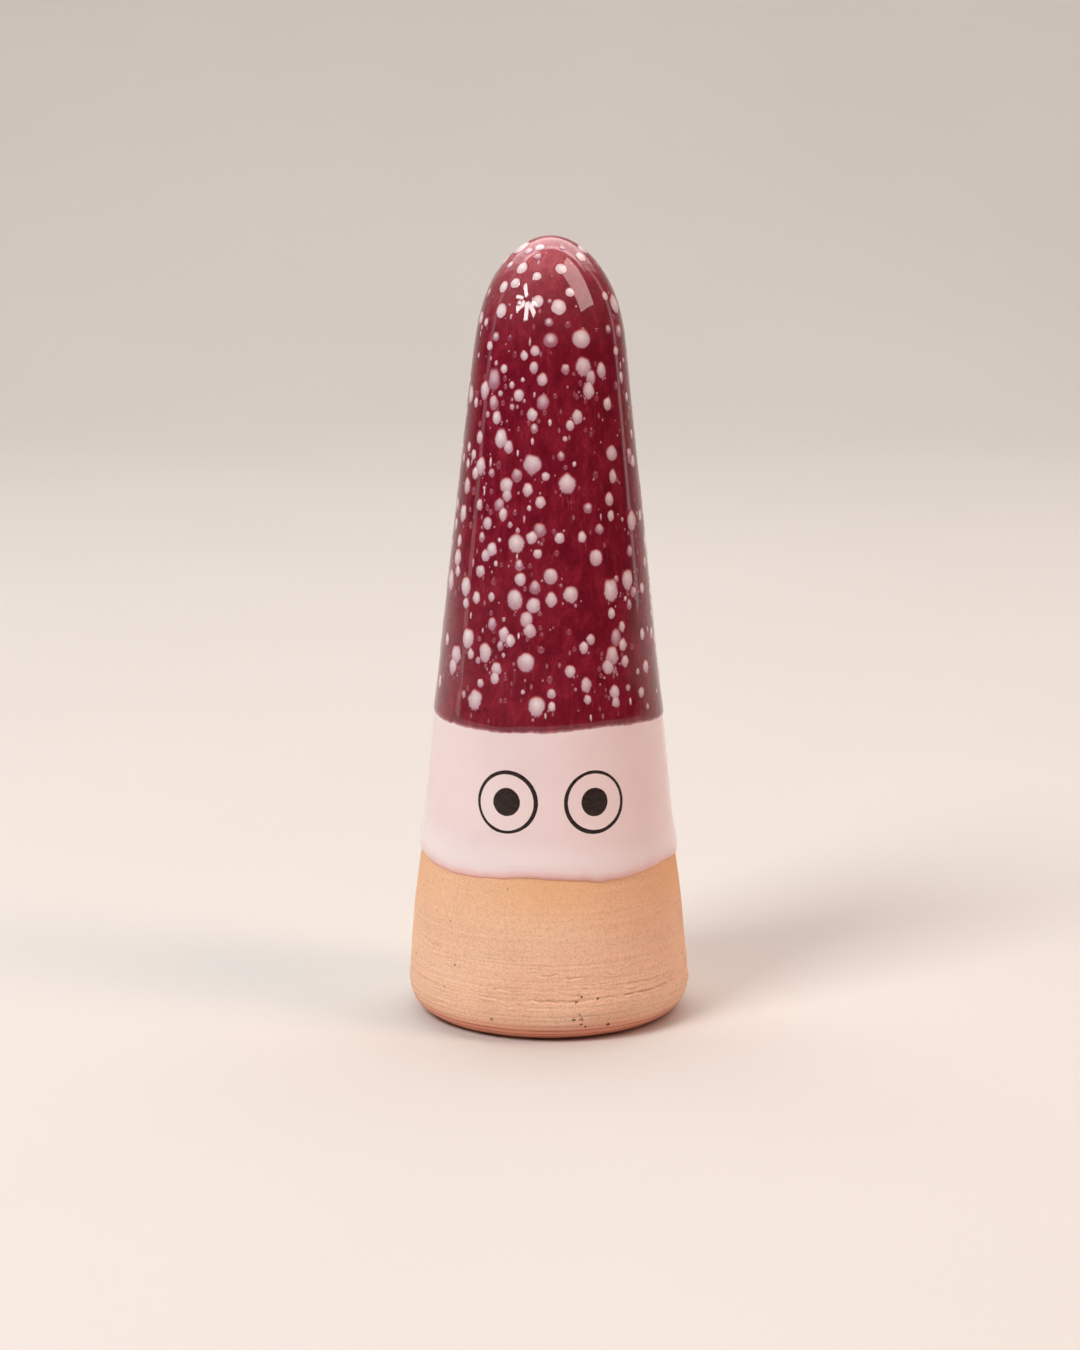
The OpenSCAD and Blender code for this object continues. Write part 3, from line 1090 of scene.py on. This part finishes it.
def face_point(angle, across, along, out):
    """Points on the white coat from offsets in the tangent plane of one eye."""
    a = angle + np.degrees(np.arcsin(np.clip(across / (float(body_r(EYE_Z)) + GLAZE_T), -1, 1)))
    z = EYE_Z + along
    return on_form(a, s_of_z(z), white_coat(a, z) + out)


def eye_ring(name, angle, thick_turn, seed, material):
    """A ring drawn by hand, thicker where the pen pressed."""
    steps = 220
    turn = np.arange(steps) * 2 * np.pi / steps
    deg = np.degrees(turn)
    middle = EYE_R - EYE_LINE / 2 + 0.05 * turn_noise(deg, 60, seed) + 0.015 * turn_noise(deg, 20, seed + 1)
    press = 1.12 + 0.2 * np.cos(turn - math.radians(thick_turn)) + 0.1 * turn_noise(deg, 40, seed + 2)
    half = EYE_LINE / 2 * (press + 0.05 * turn_noise(deg, 9, seed + 3))
    rows = [(middle + u * half, INK_T * (1 - u ** 4) - 0.004 * abs(u) ** 9) for u in np.linspace(-1, 1, 9)]
    rows += [(middle + 0.2, -0.05), (middle - 0.2, -0.05)]
    points = [face_point(angle, r * np.cos(turn), r * np.sin(turn), out) for r, out in rows]
    return new_piece(name, np.concatenate(points), ring_faces(len(rows), steps, close=True), material)


def pupil(name, angle, seed, material):
    """A dot filled in by hand."""
    steps, rings = 120, 14
    turn = np.arange(steps) * 2 * np.pi / steps
    deg = np.degrees(turn)
    edge = PUPIL_R * (1.01 + 0.02 * turn_noise(deg, 45, seed) + 0.008 * turn_noise(deg, 12, seed + 1))
    middle = np.zeros(1)
    points = [face_point(angle, middle, middle, INK_T)]
    for k in range(1, rings + 1):
        u = k / rings
        out = INK_T * (1 - u ** 8) - 0.004 * (k == rings)
        points.append(face_point(angle, u * edge * np.cos(turn), u * edge * np.sin(turn), out))
    points.append(face_point(angle, middle, middle, -0.25))
    return new_piece(name, np.concatenate(points), lens_faces(0, rings, steps), material)


# The pieces on their body

ink = ink_material()
LEFT_EYE = FACE_TURN - EYE_ANGLE - PUPIL_TURN
RIGHT_EYE = FACE_TURN + EYE_ANGLE + PUPIL_TURN
placed = [
    (clay_body(clay_material()), "clay_body", "bare_clay"),
    (white_glaze(white_material()), "white_glaze", "white_glaze"),
    (hat_glaze(hat_material()), "hat_glaze", "red_glaze"),
    (glaze_drops(drop_material()), "glaze_spots", "spot_glaze"),
    (eye_ring("eye_ring_line_left", LEFT_EYE, 40, 300, ink), "left_eye_ring", "black_paint"),
    (pupil("pupil_dot_left", LEFT_EYE, 310, ink), "left_pupil", "black_paint"),
    (eye_ring("eye_ring_line_right", RIGHT_EYE, 215, 320, ink), "right_eye_ring", "black_paint"),
    (pupil("pupil_dot_right", RIGHT_EYE, 330, ink), "right_pupil", "black_paint"),
]
for piece, node, slot in placed:
    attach(piece, "root")
    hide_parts(node)


# Floor, light and camera, in metres

def studio_floor():
    """A pale floor that sweeps up far behind the object."""
    front, back, bend, height, half = -3.0, 1.3, 0.5, 1.6, 3.0
    line = [(front, 0.0), (back - bend, 0.0)]
    for t in np.radians(np.linspace(6, 90, 15)):
        line.append((back - bend + bend * math.sin(t), bend - bend * math.cos(t)))
    line.append((back, height))
    points = [(x, y, z) for y, z in line for x in (-half, half)]
    faces = [(2 * i, 2 * i + 1, 2 * i + 3, 2 * i + 2) for i in range(len(line) - 1)]
    floor = new_piece("studio_floor", np.array(points) / MM, faces, floor_material())


PLAIN = (1.0, 1.0, 1.0)
WARM = (1.0, 0.97, 0.95)
PEACH = (1.0, 0.66, 0.54)
PINK = (1.0, 0.77, 0.74)
ROSY = (1.0, 0.93, 0.92)
# Middle of the object, and the places of the three softboxes around it
MIDDLE = (0.0, 0.0, 0.06)
KEY = (-0.62, -0.62, 0.95)
FILL = (0.75, -0.30, 0.95)
TOP = (0.0, 0.55, 1.15)


def area_light(name, place, size, power, colour=PLAIN, aim=MIDDLE, shift=(0, 0), roll=0,
               diffuse=True, glossy=True):
    """A rectangular light that faces a point, shifted and turned in its own plane."""
    light = bpy.data.lights.new(name, "AREA")
    light.shape = "RECTANGLE"
    light.size, light.size_y = size
    light.energy = power
    light.color = colour
    lamp = put_in_scene(name, light)
    way = np.array(aim) - np.array(place)
    yaw = math.atan2(way[0], -way[1])
    pitch = math.acos(-way[2] / np.linalg.norm(way))
    turn = Euler((pitch, 0.0, yaw + math.pi), "XYZ").to_matrix()
    lamp.location = Vector(place) + turn @ Vector((*shift, 0))
    lamp.rotation_euler = (turn @ Matrix.Rotation(math.radians(roll), 3, "Z")).to_euler()
    lamp.visible_camera = False
    lamp.visible_diffuse = diffuse
    lamp.visible_glossy = glossy


def softboxes():
    """The light on the object, without its reflections."""
    area_light("key_softbox", KEY, (0.46, 0.46), 11.2, WARM, glossy=False)
    area_light("fill_softbox", FILL, (0.42, 0.85), 6.3, PEACH, glossy=False)
    area_light("top_softbox", TOP, (1.7, 1.0), 13.0, WARM, glossy=False)


def nearer(place):
    """A little in front of a softbox, because one light hides another in the same plane."""
    return tuple(0.95 * p + 0.05 * m for p, m in zip(place, MIDDLE))


# Petals of the umbrella that the dome mirrors: direction, inner and outer reach, and width
PETALS = (
    (-86, 0.03, 0.27, 0.048), (-56, 0.06, 0.20, 0.040), (-122, 0.06, 0.21, 0.042),
    (172, 0.06, 0.15, 0.050), (112, 0.06, 0.25, 0.036),
)


def umbrella():
    """The key's reflection: an umbrella's petals, stretched because the dome narrows what it mirrors."""
    place = (-0.62, -0.62, 0.70)
    stretch = 2.7
    power_per_area = 58.0
    for i, (way, inner, outer, width) in enumerate(PETALS):
        t = math.radians(way)
        across = stretch * math.cos(t)
        up = math.sin(t)
        length = (outer - inner) * math.hypot(across, up)
        breadth = width * math.hypot(stretch * math.sin(t), math.cos(t))
        middle = 0.5 * (inner + outer)
        area_light("key_petal_%d" % i, place, (breadth, length), power_per_area * breadth * length,
                   shift=(middle * across, middle * up), roll=math.degrees(math.atan2(up, across)) - 90,
                   diffuse=False)


# Lengths of the panel above, which fades towards its ends: middle, width and strength
TOP_LENGTHS = ((0.0, 1.5, 1.0), (-0.85, 0.2, 0.65), (0.85, 0.2, 0.65), (-1.05, 0.2, 0.3), (1.05, 0.2, 0.3))


def panels():
    """The other reflections: the fill's panel, the panel above with a bright front bar, and two strips."""
    area_light("fill_panel", nearer(FILL), (0.58, 0.92), 9.6, PINK, diffuse=False)
    for i, (middle, width, share) in enumerate(TOP_LENGTHS):
        area_light("top_panel_%d" % i, nearer(TOP), (width, 0.9), 8.5 * share * width, ROSY,
                   shift=(middle, -0.14), diffuse=False)
        area_light("top_bar_%d" % i, nearer(nearer(TOP)), (width, 0.14), 1.1 * share * width, ROSY,
                   shift=(middle, 0.24), diffuse=False)
    for name, place in (("left_strip", (-0.93, 0.20, 0.35)), ("right_strip", (0.82, 0.42, 0.35))):
        area_light(name, place, (0.12, 1.0), 0.32, aim=(0.0, 0.0, 0.08), diffuse=False)


def dim_room():
    """A faint even light from all round."""
    world = bpy.data.worlds.new("studio")
    bpy.context.scene.world = world
    world.use_nodes = True
    background = world.node_tree.nodes["Background"]
    background.inputs["Color"].default_value = (1.0, 0.98, 0.96, 1.0)
    background.inputs["Strength"].default_value = 0.05


# The photo's camera: focal length in its pixels, place, and angles below the level and around the view
PHOTO_HEIGHT = 1350
FOCAL_PX = 3474.0
SENSOR_MM = 36.0
CAMERA_PLACE = (-0.00178, -0.6, 0.1793)
CAMERA_DOWN = 11.22
CAMERA_ROLL = -0.11


def photo_camera():
    camera = put_in_scene("photo_camera", bpy.data.cameras.new("photo_camera"))
    bpy.context.scene.camera = camera
    camera.data.sensor_width = SENSOR_MM
    camera.data.lens = FOCAL_PX / PHOTO_HEIGHT * SENSOR_MM
    camera.data.clip_start = 0.01
    camera.location = CAMERA_PLACE
    camera.rotation_euler = (math.radians(90 - CAMERA_DOWN), math.radians(CAMERA_ROLL), 0)


studio_floor()
softboxes()
umbrella()
panels()
dim_room()
photo_camera()
bpy.context.scene.view_settings.view_transform = "Standard"
